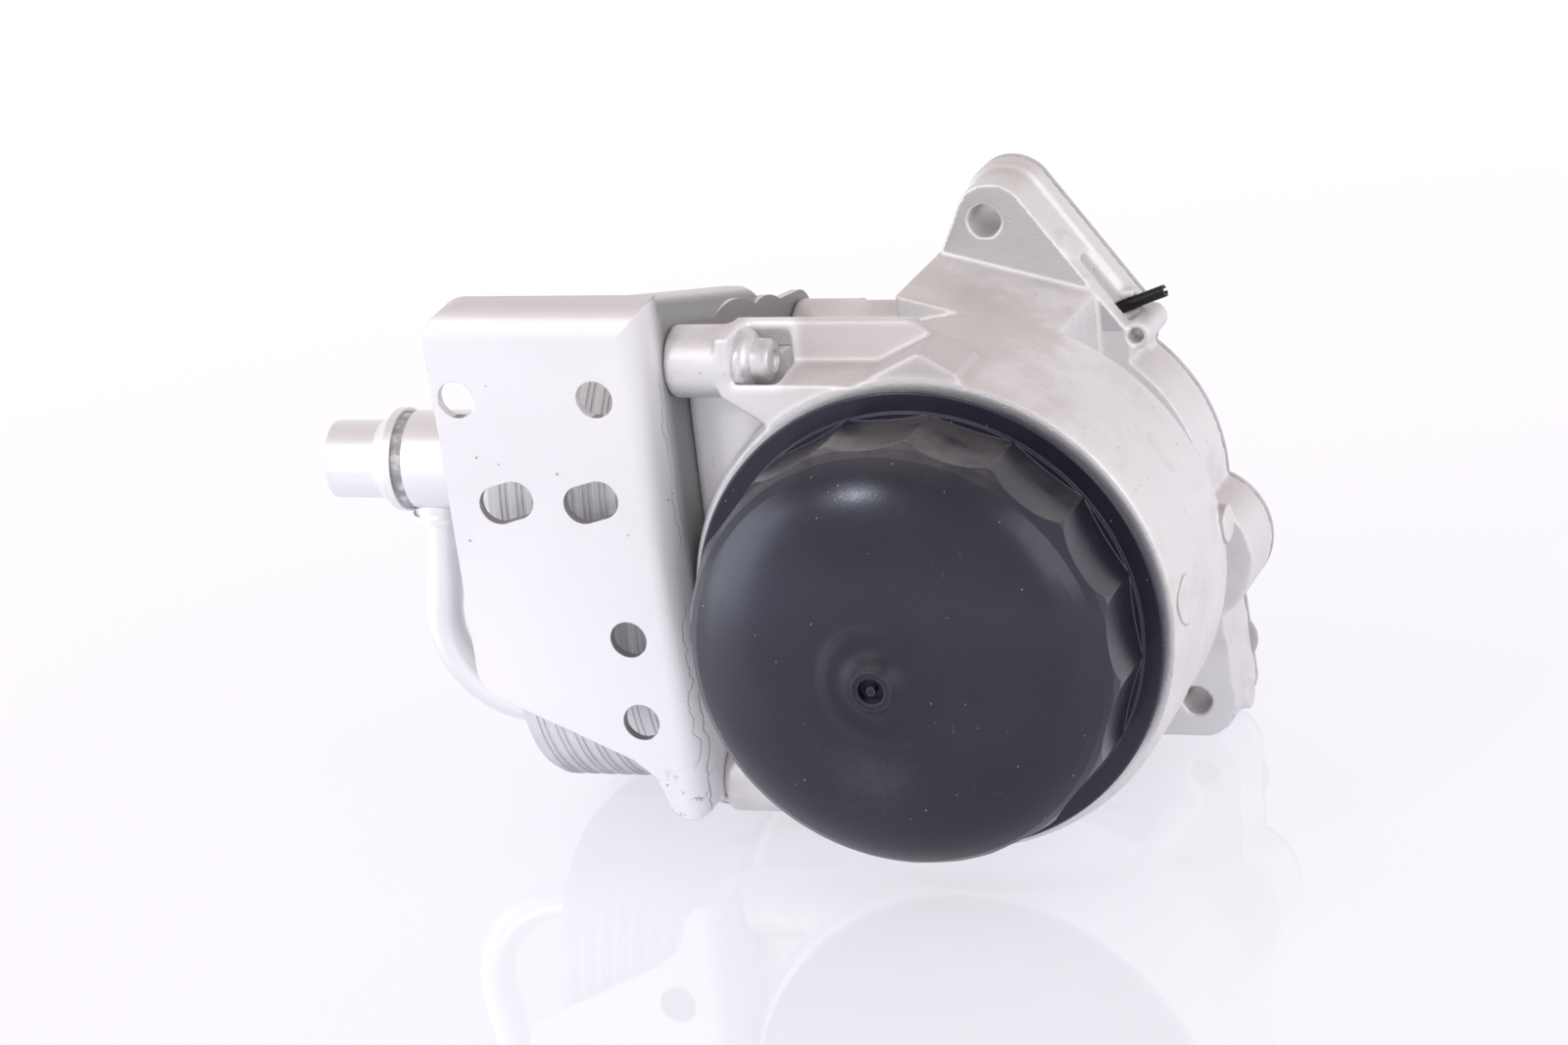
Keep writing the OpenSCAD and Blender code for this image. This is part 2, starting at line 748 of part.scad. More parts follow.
module cooler_bracket() {
    color("#dcdcde") cooler_frame() difference() {
        union() {
            difference() {
                intersection() {
                    cover_block(0);
                    along_y(cover_v - 1, 0) cover_outline();
                }
                cover_block(sheet_t);
            }
            bracket_flange();
            bracket_rim();
        }
        along_y(cover_v - 1, cover_v + sheet_t + 1) cover_holes();
        oval_holes();
        for (p = bolt_points) rod_x(3.3, -sheet_t - 1, 1, p);
        for (p = [[feed_y, feed_z], [return_y, return_z]]) pad_hole(p, -sheet_t - 1, 1);
    }
}

// A hole on the axis of one of the casting's ports, drawn in the cooler's frame
module pad_hole(p, x0, x1) {
    rotate([-cooler_tilt, 0, 0]) translate([0, -front_bolt_y, -front_bolt_z]) rod_x(gallery_r, x0, x1, p);
}

module cooler_base_plate() {
    color("#b9bbbf") cooler_frame() difference() {
        plate_slab(stack_x, -sheet_t, 2);
        for (p = bolt_points) rod_x(nut_r + 0.5, stack_x - 1, 1, p);
        for (p = [[feed_y, feed_z], [return_y, return_z]]) pad_hole(p, stack_x - 1, 0);
    }
}

// Each plate is a shallow pan whose flared edge laps over the next one
module cooler_plates() {
    color("#a5a7ab") cooler_frame() union() {
        for (i = [0 : plate_count - 1]) {
            x = end_x + i * plate_pitch;
            plate_slab(x, x + plate_pitch * 0.4);
            plate_slab(x + plate_pitch * 0.4, x + plate_pitch * 0.7, rim_inset);
            plate_slab(x + plate_pitch * 0.7, x + plate_pitch, 2 * rim_inset);
        }
    }
}

module cooler_end_plate() {
    color("#b9bbbf") cooler_frame() difference() {
        plate_slab(tip_x, end_x, 0.8);
        rod_x(socket_r - 3, tip_x - 1, end_x + 1, [port_v, port_w]);
        rod_x(pipe_r + 0.05, tip_x - 1, end_x + 1, [port_v, pipe_low - pipe_drop]);
        rod_x(outlet_r + 0.03, tip_x - 1, end_x + 1, [outlet_v, outlet_w]);
    }
}

// Flanged hex bolt on the X axis, with its head's seat at x = boss_len
module flange_bolt() {
    rod_x(3, stack_x + 0.2, boss_len + eps);
    translate([boss_len, 0, 0]) rotate([0, 90, 0]) rotate_extrude()
        polygon([[0, 0], [6.3, 0], [6.4, 1.8], [4.8, 3.6], [0, 3.6]]);
    along_x(boss_len + 3.6 - eps, boss_len + 7) circle(head_r, $fn = 6);
}

module cooler_bolts() {
    color("#b4b6ba") cooler_frame() {
        for (p = bolt_points) translate([0, p[0], p[1]]) flange_bolt();
    }
}

module weld_nuts() {
    color("#9fa2a6") cooler_frame() {
        for (p = bolt_points) translate([0, p[0], p[1]]) difference() {
            along_x(stack_x + 0.2, -sheet_t) circle(nut_r, $fn = 6);
            rod_x(3.02, stack_x - 1, 0);
        }
    }
}

module port_seals() {
    color("#1c1c1e") from_front() {
        for (p = [[feed_y, feed_z], [return_y, return_z]])
            translate([pad_x, p[0], p[1]]) rotate([0, 90, 0]) rotate_extrude()
                translate([seal_r, (seal_d - 0.4) / 2]) circle((seal_d - 0.4) / 2, $fn = 32);
    }
}

// Coolant connections

module coolant_socket() {
    color("#d8d8da") cooler_frame() difference() {
        union() {
            rod_x(socket_r, ring_x, tip_x, [port_v, port_w]);
            rod_x(socket_r + 2, tip_x - 2, tip_x, [port_v, port_w]);
        }
        rod_x(socket_r - 1.6, ring_x - 1, tip_x - 3, [port_v, port_w]);
        rod_x(socket_r - 3, tip_x - 4, tip_x + 1, [port_v, port_w]);
        translate([collar_x, port_v, port_w - socket_r - 4]) cylinder(h = 8, r = pipe_r - 1.2);
    }
}

module spigot_seal() {
    color("#1c1c1e") cooler_frame() translate([0, port_v, port_w]) difference() {
        rod_x(socket_r - 0.2, ring_x - 2.4, ring_x);
        rod_x(plug_r + run_gap, ring_x - 3, ring_x + 1);
    }
}

module coolant_spigot() {
    ring = ring_x - 2.4;
    color("#dededf") cooler_frame() translate([0, port_v, port_w]) difference() {
        union() {
            rod_x(plug_r, ring, ring_x + 8);
            rod_x(socket_r + 0.5, ring - 1.8, ring);
            translate([ring - 1.8, 0, 0]) rotate([0, -90, 0])
                rotate_extrude() polygon([[0, -eps], [socket_r + 0.1, -eps], [spigot_r, 3.4], [0, 3.4]]);
            rod_x(spigot_r, ring - 3 - spigot_len, ring - 1.8);
        }
        rod_x(spigot_r - 1.4, ring - 4 - spigot_len, ring_x + 9);
    }
}

module pipe_collar() {
    top = port_w - sqrt(socket_r * socket_r - 36);
    color("#d4d4d6") cooler_frame() translate([collar_x, port_v, 0]) difference() {
        translate([0, 0, top - 4.2]) union() {
            cylinder(h = 4.2, r = 6);
            cylinder(h = 1.6, r = 6.7);
        }
        translate([0, 0, top - 5]) cylinder(h = 6, r = pipe_r + 0.05);
        translate([0, -port_v, 0]) rod_x(socket_r + 0.02, -30, 30, [port_v, port_w]);
    }
}

module coolant_pipe() {
    top = port_w - socket_r;
    drop = top - 2 - pipe_low;
    foot_x = collar_x - drop * tan(pipe_lean);
    color("#dcdcde") cooler_frame() difference() {
        translate([foot_x, port_v, pipe_low]) {
            rotate([0, pipe_lean, 0]) {
                cylinder(h = drop / cos(pipe_lean), r = pipe_r);
                translate([pipe_bend_r, 0, 0]) rotate([90, 180, 0])
                    rotate_extrude(angle = 90 + pipe_lean) translate([pipe_bend_r, 0]) circle(pipe_r);
            }
        }
        translate([foot_x, port_v, pipe_low]) rotate([0, pipe_lean, 0])
            translate([0, 0, 2]) cylinder(h = 60, r = pipe_r - 1.2);
    }
}

module coolant_outlet() {
    color("#d8d8da") cooler_frame() translate([0, outlet_v, outlet_w]) difference() {
        union() {
            rod_x(outlet_r, tip_x - 13, end_x);
            rod_x(outlet_r + 0.8, tip_x - 11.5, tip_x - 9.5);
            rod_x(outlet_r + 2.3, tip_x - 1.5, tip_x);
        }
        rod_x(outlet_r - 1.3, tip_x - 14, end_x + 1);
    }
}

housing_casting();
engine_gasket();
roll_pin();
filter_cap();
cap_o_ring();
filter_pleats();
element_front_disc();
element_rear_disc();
element_core_tube();
element_front_seal();
element_rear_seal();
standpipe();
standpipe_seal();
anti_drain_membrane();
bypass_disc();
bypass_spring();
bypass_retainer();
cooler_bracket();
cooler_base_plate();
cooler_plates();
cooler_end_plate();
cooler_bolts();
weld_nuts();
port_seals();
coolant_socket();
coolant_spigot();
spigot_seal();
pipe_collar();
coolant_pipe();
coolant_outlet();
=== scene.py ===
"""Oil filter housing with its plate oil cooler: looks, fine detail, studio and camera.

All lengths are in metres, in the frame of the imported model: the bowl's axis lies along Y, the
engine face is at y = 0, the cap faces -Y, the cooler is on the -X side and +Z is up.
"""

import json
import math

import bmesh
import bpy
from mathutils import Matrix, Vector


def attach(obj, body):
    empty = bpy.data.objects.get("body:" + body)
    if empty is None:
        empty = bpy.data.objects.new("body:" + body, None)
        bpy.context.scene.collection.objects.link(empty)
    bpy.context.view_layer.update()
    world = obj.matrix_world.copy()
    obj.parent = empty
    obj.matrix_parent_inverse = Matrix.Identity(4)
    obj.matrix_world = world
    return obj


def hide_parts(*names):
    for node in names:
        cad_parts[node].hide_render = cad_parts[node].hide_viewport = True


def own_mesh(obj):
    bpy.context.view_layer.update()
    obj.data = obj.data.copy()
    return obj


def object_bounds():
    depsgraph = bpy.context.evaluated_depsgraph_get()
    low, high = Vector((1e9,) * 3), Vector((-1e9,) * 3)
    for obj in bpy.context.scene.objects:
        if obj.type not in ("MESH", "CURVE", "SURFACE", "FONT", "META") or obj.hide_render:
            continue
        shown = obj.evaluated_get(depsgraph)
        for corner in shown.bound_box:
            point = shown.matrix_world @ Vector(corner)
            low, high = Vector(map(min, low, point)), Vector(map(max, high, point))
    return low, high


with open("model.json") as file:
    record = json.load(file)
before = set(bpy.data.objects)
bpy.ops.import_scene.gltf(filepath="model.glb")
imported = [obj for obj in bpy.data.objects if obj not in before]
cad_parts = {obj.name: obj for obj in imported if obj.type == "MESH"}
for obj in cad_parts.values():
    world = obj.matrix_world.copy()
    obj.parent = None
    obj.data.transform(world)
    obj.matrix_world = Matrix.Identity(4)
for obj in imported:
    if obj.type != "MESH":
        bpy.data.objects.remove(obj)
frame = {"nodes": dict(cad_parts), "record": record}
cad_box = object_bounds()
nodes = frame["nodes"]

MM = 0.001
BODY_DEPTH = 93 * MM

# Node graphs


class Graph:
    """The node tree of a material or world, with short calls that add and join its nodes."""

    def __init__(self, owner):
        owner.use_nodes = True
        self.owner = owner
        self.tree = owner.node_tree
        self.tree.nodes.clear()
        self.coords = self.add("ShaderNodeTexCoord").outputs
        self.geometry = self.add("ShaderNodeNewGeometry").outputs

    def add(self, kind, inputs=None, **settings):
        """A node of that kind. A socket among the inputs is linked, anything else is its value."""
        node = self.tree.nodes.new(kind)
        for key, value in settings.items():
            setattr(node, key, value)
        for key, value in (inputs or {}).items():
            self.feed(node.inputs[key], value)
        return node

    def feed(self, socket, value):
        """Links the value to the socket if it is a socket too, and else stores it there."""
        if isinstance(value, bpy.types.NodeSocket):
            self.tree.links.new(value, socket)
        else:
            socket.default_value = value

    def math(self, operation, *values):
        return self.add("ShaderNodeMath", dict(enumerate(values)), operation=operation).outputs[0]

    def product(self, first, *others):
        for other in others:
            first = self.math("MULTIPLY", first, other)
        return first

    def most(self, first, *others):
        """The largest of the values."""
        for other in others:
            first = self.math("MAXIMUM", first, other)
        return first

    def scaled(self, value, factor, offset):
        """The value times the factor, plus the offset."""
        return self.math("MULTIPLY_ADD", value, factor, offset)

    def band(self, value, low, high):
        """value mapped from low..high to 0..1, smooth at both ends."""
        keys = {"Value": value, "From Min": low, "From Max": high}
        return self.add("ShaderNodeMapRange", keys, interpolation_type="SMOOTHSTEP").outputs[0]

    def axis(self, vector, name):
        return self.add("ShaderNodeSeparateXYZ", {"Vector": vector}).outputs[name]

    def at(self, name):
        """The place along that axis."""
        return self.axis(self.geometry["Position"], name)

    def zone(self, *ramps):
        """1 in a zone. Each ramp is an axis, and the millimetres where it is at 0 and at 1."""
        return self.product(*[self.band(self.at(name), low * MM, high * MM)
                              for name, low, high in ramps])

    def reach(self, first, second):
        """The length of a vector with these two parts."""
        squares = [self.product(side, side) for side in (first, second)]
        return self.math("SQRT", self.math("ADD", *squares))

    def faced(self, name):
        """How far the surface looks along that axis, from -1 to 1."""
        return self.axis(self.geometry["Normal"], name)

    def noise(self, scale, detail, roughness=0.5, vector=None):
        values = {"Vector": vector or self.coords["Object"], "Scale": scale, "Detail": detail,
                  "Roughness": roughness}
        return self.add("ShaderNodeTexNoise", values).outputs["Fac"]

    def grained(self, scale, detail=4.0, roughness=0.6):
        """Noise with a scale for each axis, which runs the way in which scale is smallest."""
        values = {"Vector": self.coords["Object"], "Scale": scale}
        stretched = self.add("ShaderNodeMapping", values).outputs[0]
        return self.noise(1.0, detail, roughness, stretched)

    def specks(self, scale, size, share):
        """1 inside small round spots, in that share of the cells, and 0 outside them."""
        values = {"Vector": self.coords["Object"], "Scale": scale}
        cells = self.add("ShaderNodeTexVoronoi", values).outputs
        chosen = self.math("LESS_THAN", self.axis(cells["Color"], "X"), share)
        return self.product(self.band(cells["Distance"], size, size * 0.6), chosen)

    def mix(self, factor, low, high):
        """A colour between low and high."""
        node = self.add("ShaderNodeMix", data_type="RGBA")
        sockets = {socket.identifier: socket for socket in node.inputs}
        self.feed(sockets["Factor_Float"], factor)
        self.feed(sockets["A_Color"], low)
        self.feed(sockets["B_Color"], high)
        return next(s for s in node.outputs if s.identifier == "Result_Color")

    def rounded(self, radius):
        """The normal, as if each edge were rounded to that radius."""
        return self.add("ShaderNodeBevel", {"Radius": radius}, samples=6).outputs[0]

    def edges(self, rounded, low=0.01, high=0.14):
        """1 where the rounded normal leaves the face's own, so along the edges."""
        dot = self.add("ShaderNodeVectorMath", {0: rounded, 1: self.geometry["Normal"]},
                       operation="DOT_PRODUCT").outputs["Value"]
        return self.band(self.math("SUBTRACT", 1.0, dot), low, high)

    def bump(self, height, distance, strength, normal=None):
        values = {"Height": height, "Distance": distance, "Strength": strength}
        if normal is not None:
            values["Normal"] = normal
        return self.add("ShaderNodeBump", values).outputs[0]

    def finish(self, **inputs):
        """Closes a material's graph with one shader and returns the material."""
        named = {key.replace("_", " "): value for key, value in inputs.items()}
        shader = self.add("ShaderNodeBsdfPrincipled", named)
        self.add("ShaderNodeOutputMaterial", {"Surface": shader.outputs[0]})
        return self.owner


def material_graph(name):
    return Graph(bpy.data.materials.new(name))


def grey(value, tint=(1.0, 1.0, 1.0)):
    return (value * tint[0], value * tint[1], value * tint[2], 1.0)


# Materials

# Tints of grey
WARM = (1.0, 0.985, 0.975)
COOL = (0.985, 0.985, 1.0)
BLUE = (0.9, 0.93, 1.5)
STAIN = (1.0, 0.93, 0.91)
TARNISH_AND_SHADE = (1.0, 0.92, 0.9)
TROUGH_TINT = (1.0, 0.93, 0.92)
FOLD_TOP_SHADE = (1.0, 0.95, 0.97)
DUST = (1.0, 0.9, 0.86)

# Round marks that the die's pins leave on the bowl's +X side: y, z, radius and softness
BACK_MARK = (-49.0 * MM, 5.5 * MM, 4.1 * MM, 0.2 * MM)
FRONT_MARK = (-84.0 * MM, 2.5 * MM, 5.0 * MM, 0.16 * MM)
MARKS_X = 36.0 * MM
# The lugs' milled front lies at this y and this far above and below the axis
LUG_FRONT_Y = -18.0 * MM
LUG_START_Z = 36.0 * MM
# The milled rim of the bowl's mouth lies within this radius and ahead of this y
MOUTH_RADIUS = 51.0 * MM
MOUTH_Y = -89.75 * MM
# Zones of the casting, as ramps: an axis, and the millimetres where it is at 0 and at 1
AHEAD = ("Y", -70.0, -76.0)
RAIL_TROUGH = (AHEAD, ("Z", 48.6, 49.6), ("Z", 58.4, 57.6), ("X", -27.0, -24.0))
SIDE_RECESS = (AHEAD, ("Z", 46.0, 42.0), ("Z", -6.0, 4.0), ("X", -36.0, -40.0))
BOLT_SEAT = (AHEAD, ("Z", 46.0, 48.0), ("X", -25.0, -28.0), ("X", -38.0, -36.0))
LOWER_LUGS = ("Z", -20.0, -30.0)
# Zones of the bracket
LOWER_SHEET = ("Z", 30.0, -20.0)
LOWER_SIDE = ("Z", 40.0, 10.0)
BELOW_FOLD = ("Z", 54.0, 48.0)
RUBBED_FOOT = (("Z", -30.0, -41.0), ("X", -64.0, -57.0))
SHADED_GAP = (("Y", -93.5, -86.0), ("Z", -24.0, 6.0))
# The bracket's two long scores: their y and half their width, and how far they wander
SCORES = ((-89.6 * MM, 0.13 * MM), (-91.4 * MM, 0.09 * MM))
SCORE_SWING = 7.0 * MM
# The bracket's punched holes lie beyond this x and below this z
HOLES_X = -62.0 * MM
HOLES_Z = 44.0 * MM
# The cap: the scratched patch right of the nub, and the left of the cone round the nub
SCRATCHED = (("X", 8.0, 14.0), ("X", 30.0, 22.0))
CONE_LEFT = ("X", 7.0, -6.0)
# Distances from the cap's axis between which the cone, and the dull middle, fade in
CONE_RIM = (12.0 * MM, 11.6 * MM)
DULL_RIM = (15.0 * MM, 12.0 * MM)


def pin_mark(g, y, z, radius, soft):
    """For a round mark that faces +X: 1 inside it, and 1 along the front half of its rim, where
    its painted step shadow goes.
    """
    side = g.math("SUBTRACT", g.at("Y"), y)
    reach = g.reach(side, g.math("SUBTRACT", g.at("Z"), z))
    outside = g.math("GREATER_THAN", g.at("X"), MARKS_X)
    inside = g.product(outside, g.band(reach, radius + soft, radius - soft))
    off_rim = g.math("ABSOLUTE", g.math("SUBTRACT", reach, radius))
    rim = g.product(outside, g.band(off_rim, 2.0 * soft, 0.4 * soft),
                    g.band(side, radius * 0.5, -radius * 0.5))
    return inside, rim


def milled_faces(g):
    """1 on the lugs' front and on the rim of the bowl's mouth."""
    lugs = g.product(g.math("LESS_THAN", g.faced("Y"), -0.96),
                     g.math("COMPARE", g.at("Y"), LUG_FRONT_Y, 0.5 * MM),
                     g.math("GREATER_THAN", g.math("ABSOLUTE", g.at("Z")), LUG_START_Z))
    mouth = g.product(g.math("LESS_THAN", g.reach(g.at("X"), g.at("Z")), MOUTH_RADIUS),
                      g.math("LESS_THAN", g.at("Y"), MOUTH_Y))
    return g.most(lugs, mouth)


def cast_aluminium():
    """Die-cast skin with a fine sandy grain, soft mottling, small pits and milled faces."""
    g = material_graph("cast_aluminium")
    grain = g.noise(1500.0, 4.0, 0.6)
    flow = g.noise(45.0, 3.0, 0.55)
    cloud = g.noise(16.0, 2.0)
    skin = g.mix(g.band(flow, 0.3, 0.7), grey(0.74, WARM), grey(0.84, WARM))
    skin = g.mix(g.band(cloud, 0.35, 0.7), skin, grey(0.80, COOL))
    pits = g.specks(420.0, 0.16, 0.25)
    skin = g.mix(g.product(pits, 0.5), skin, grey(0.4))
    stain = g.band(g.noise(70.0, 6.0, 0.7), 0.52, 0.68)
    skin = g.mix(g.product(stain, 0.42), skin, grey(0.66, STAIN))
    # The faces that look up get browner mottled patches, partly tarnish and partly painted shade
    # for the dimmer, warmer light from above, and the front rail's trough is a little darker and
    # browner
    tarnish_and_shade = g.product(g.band(g.faced("Z"), 0.42, 0.9),
                        g.band(g.noise(34.0, 6.0, 0.65), 0.38, 0.6))
    skin = g.mix(g.product(tarnish_and_shade, 0.7), skin, grey(0.62, TARNISH_AND_SHADE))
    skin = g.mix(g.product(g.zone(*RAIL_TROUGH), 0.7), skin, grey(0.58, TROUGH_TINT))
    # Painted light in the recess beside the bowl and on the front bolt's seat, which lifts the
    # shade that falls in them
    painted_light = g.most(g.zone(*SIDE_RECESS), g.zone(*BOLT_SEAT))
    skin = g.mix(g.product(painted_light, 0.8), skin, grey(0.97, COOL))
    back, back_rim_shadow = pin_mark(g, *BACK_MARK)
    front, front_rim_shadow = pin_mark(g, *FRONT_MARK)
    # Painted shadow of each mark's step, along the front half of its rim
    skin = g.mix(g.product(g.most(back_rim_shadow, front_rim_shadow), 0.55), skin, grey(0.3, WARM))
    scores = g.product(g.band(g.grained((70.0, 1600.0, 1600.0)), 0.67, 0.72),
                       g.band(flow, 0.5, 0.7))
    skin = g.mix(g.product(scores, 0.4), skin, grey(0.45))
    milled = milled_faces(g)
    cutter = g.grained((260.0, 3000.0, 2600.0), detail=3.0)
    milled_and_painted_light = g.mix(g.band(cutter, 0.3, 0.7), grey(0.57, COOL), grey(0.62, COOL))
    # Painted light on the lower lugs' milled faces, which lie in the bowl's shade
    milled_and_painted_light = g.mix(g.zone(LOWER_LUGS), milled_and_painted_light, grey(0.78, COOL))
    colour = g.mix(milled, skin, milled_and_painted_light)
    normal = g.rounded(0.5 * MM)
    # Painted highlights along the edges
    colour = g.mix(g.product(g.edges(normal), 0.08), colour, grey(0.9))
    rough = g.scaled(milled, -0.1, g.scaled(grain, 0.24, 0.38))
    height = g.scaled(grain, 0.7, g.product(flow, 1.1))
    height = g.scaled(g.most(pits, scores), -0.8, height)
    height = g.scaled(g.most(back, front), 3.0, height)
    depth = g.bump(height, 0.11 * MM, 0.8, normal)
    return g.finish(Base_Color=colour, Metallic=0.5, Roughness=rough, Normal=depth)


def sheet_aluminium():
    """Pressed sheet, satin and near white, scuffed and scratched along its folds."""
    g = material_graph("pressed_sheet")
    rolled = g.grained((2200.0, 2200.0, 160.0))
    base = g.mix(g.band(g.noise(28.0, 3.0), 0.3, 0.7), grey(0.87, COOL), grey(0.92, COOL))
    base = g.mix(g.product(rolled, 0.25), base, grey(0.8, COOL))
    # Painted light on the lower part of the sheet, lighter towards the bottom
    base = g.mix(g.product(g.zone(LOWER_SHEET), 0.8), base, grey(0.98, COOL))
    # Wavy dark scores down the side beside the bowl, rubbing at the foot, nicks and flecks
    side = g.band(g.faced("X"), 0.3, 0.8)
    wander = g.math("SUBTRACT", g.grained((0.0, 0.0, 85.0), roughness=0.55), 0.5)
    wavy = g.scaled(wander, SCORE_SWING, g.at("Y"))
    scores = g.most(*[g.math("COMPARE", wavy, y, half) for y, half in SCORES])
    scores = g.product(side, scores, g.band(g.noise(75.0, 3.0), 0.4, 0.52), g.zone(BELOW_FOLD))
    foot = g.product(g.zone(*RUBBED_FOOT), g.band(g.noise(320.0, 5.0, 0.6), 0.55, 0.64))
    normal = g.rounded(0.4 * MM)
    nicks = g.product(g.edges(normal), g.band(g.noise(210.0, 4.0, 0.6), 0.52, 0.64))
    dark = g.most(scores, foot, nicks, g.specks(230.0, 0.09, 0.2))
    colour = g.mix(g.product(dark, 0.66), base, grey(0.22, COOL))
    # Painted shade on the faces that look up, such as the fold's top
    film = g.band(g.faced("Z"), 0.1, 0.85)
    colour = g.mix(g.product(film, 0.75), colour, grey(0.66, FOLD_TOP_SHADE))
    # Painted shade in the gap between the sheet and the bowl
    gap_shade = g.product(side, g.zone(*SHADED_GAP))
    colour = g.mix(g.product(gap_shade, 0.78), colour, grey(0.14, COOL))
    # Painted shade on the walls of the punched holes, which are darker than the cover
    wall_shade = g.product(g.band(g.most(g.faced("X"), g.faced("Z")), 0.25, 0.5),
                      g.math("LESS_THAN", g.at("X"), HOLES_X),
                      g.math("LESS_THAN", g.at("Z"), HOLES_Z))
    colour = g.mix(g.product(wall_shade, 0.75), colour, grey(0.16, COOL))
    rough = g.scaled(rolled, 0.16, 0.44)
    metal = g.scaled(g.product(side, g.zone(LOWER_SIDE)), -0.4, 0.5)
    depth = g.bump(g.math("SUBTRACT", rolled, dark), 0.05 * MM, 0.6, normal)
    return g.finish(Base_Color=colour, Metallic=metal, Roughness=rough, Normal=depth)


def brazed_plates():
    """Grey brazed aluminium, dull, with a darker film and fine runs of braze."""
    g = material_graph("brazed_plates")
    film = g.noise(140.0, 5.0, 0.65)
    runs = g.grained((2600.0, 300.0, 300.0))
    base = g.mix(g.band(film, 0.35, 0.68), grey(0.54, COOL), grey(0.68, COOL))
    normal = g.rounded(0.3 * MM)
    # Painted highlights along the edges, painted light on the faces that look up, and painted
    # light on the faces that look to -Y, which lifts the shade in the cover's holes
    base = g.mix(g.product(g.edges(normal), 0.6), base, grey(0.86, COOL))
    base = g.mix(g.product(g.band(g.faced("Z"), 0.2, 0.7), 0.8), base, grey(0.84, WARM))
    base = g.mix(g.product(g.band(g.faced("Y"), -0.5, -0.95), 0.75), base, grey(0.93, COOL))
    rough = g.scaled(runs, 0.25, 0.34)
    depth = g.bump(g.scaled(runs, 0.25, film), 0.06 * MM, 0.6, normal)
    return g.finish(Base_Color=base, Metallic=0.45, Roughness=rough, Normal=depth)


def drawn_tube():
    """Bright drawn tube with fine rings round it."""
    g = material_graph("drawn_tube")
    rings = g.grained((3200.0, 90.0, 90.0), detail=3.0)
    base = g.mix(g.band(g.noise(70.0, 3.0), 0.3, 0.7), grey(0.92, COOL), grey(0.96, COOL))
    rough = g.scaled(rings, 0.16, 0.34)
    depth = g.bump(rings, 0.02 * MM, 0.6, g.rounded(0.35 * MM))
    return g.finish(Base_Color=base, Metallic=0.85, Roughness=rough, Normal=depth)


def moulded_cap():
    """Glass-filled black plastic: satin, faintly mottled, dusty, with painted highlights along its
    ridges.
    """
    g = material_graph("moulded_cap")
    cloud = g.noise(34.0, 4.0, 0.6)
    base = g.mix(g.band(cloud, 0.3, 0.72), grey(0.011, BLUE), grey(0.017, BLUE))
    # Light dust all over, and a patch of short scratches right of the nub
    motes = g.most(g.specks(210.0, 0.05, 0.3), g.specks(480.0, 0.09, 0.14))
    grazes = g.most(g.band(g.grained((2600.0, 900.0, 260.0)), 0.7, 0.74),
                    g.band(g.grained((300.0, 900.0, 2600.0)), 0.71, 0.75))
    grazes = g.product(grazes, g.zone(*SCRATCHED), 0.5)
    colour = g.mix(g.most(g.product(motes, 0.8), grazes), base, grey(0.34))
    normal = g.rounded(0.45 * MM)
    # Painted highlights along the ridges
    ridge_highlight = g.edges(normal, 0.004, 0.08)
    colour = g.mix(g.product(ridge_highlight, 0.3), colour, grey(0.2, BLUE))
    film = g.product(g.band(g.faced("Z"), 0.55, 1.0), g.band(g.noise(80.0, 4.0, 0.6), 0.25, 0.6))
    colour = g.mix(g.product(film, 0.5), colour, grey(0.16, DUST))
    # The nub and its cone are duller, and the cone's left side shines less
    reach = g.reach(g.at("X"), g.at("Z"))
    rough = g.scaled(g.noise(260.0, 4.0, 0.6), 0.12, 0.16)
    rough = g.scaled(cloud, 0.08, rough)
    rough = g.scaled(g.band(reach, *DULL_RIM), 0.2, rough)
    shine = g.scaled(g.product(g.band(reach, *CONE_RIM), g.zone(CONE_LEFT)), -0.14, 0.5)
    depth = g.bump(g.noise(1900.0, 3.0, 0.55), 0.03 * MM, 0.5, normal)
    return g.finish(Base_Color=colour, Roughness=rough, Normal=depth, IOR=1.52,
                    Specular_IOR_Level=shine, Specular_Tint=(0.82, 0.86, 1.0, 1.0))


def soft_seal(name, tone):
    """Matt rubber with a little bloom."""
    g = material_graph(name)
    bloom = g.noise(420.0, 4.0, 0.6)
    colour = g.mix(g.band(bloom, 0.4, 0.75), grey(tone), grey(tone * 2.2))
    rough = g.scaled(bloom, 0.2, 0.5)
    depth = g.bump(bloom, 0.05 * MM, 0.5, g.rounded(0.2 * MM))
    return g.finish(Base_Color=colour, Roughness=rough, Normal=depth)


def coated_gasket():
    """Grey coated sheet, with faint stains."""
    g = material_graph("gasket_face")
    stain = g.band(g.noise(120.0, 4.0, 0.6), 0.35, 0.7)
    return g.finish(Base_Color=g.mix(stain, grey(0.5, COOL), grey(0.62, COOL)), Roughness=0.6)


def plain_metal(name, tone, tint, roughness):
    """Plated or ground metal with fine wear."""
    g = material_graph(name)
    wear = g.noise(700.0, 4.0, 0.6)
    colour = g.mix(g.band(wear, 0.3, 0.7), grey(tone * 0.86, tint), grey(tone, tint))
    normal = g.rounded(0.25 * MM)
    rubbed = grey(min(1.0, tone * 1.25), tint)
    colour = g.mix(g.product(g.edges(normal), 0.4), colour, rubbed)
    rough = g.scaled(wear, 0.16, roughness)
    depth = g.bump(wear, 0.03 * MM, 0.5, normal)
    return g.finish(Base_Color=colour, Metallic=0.9, Roughness=rough, Normal=depth)


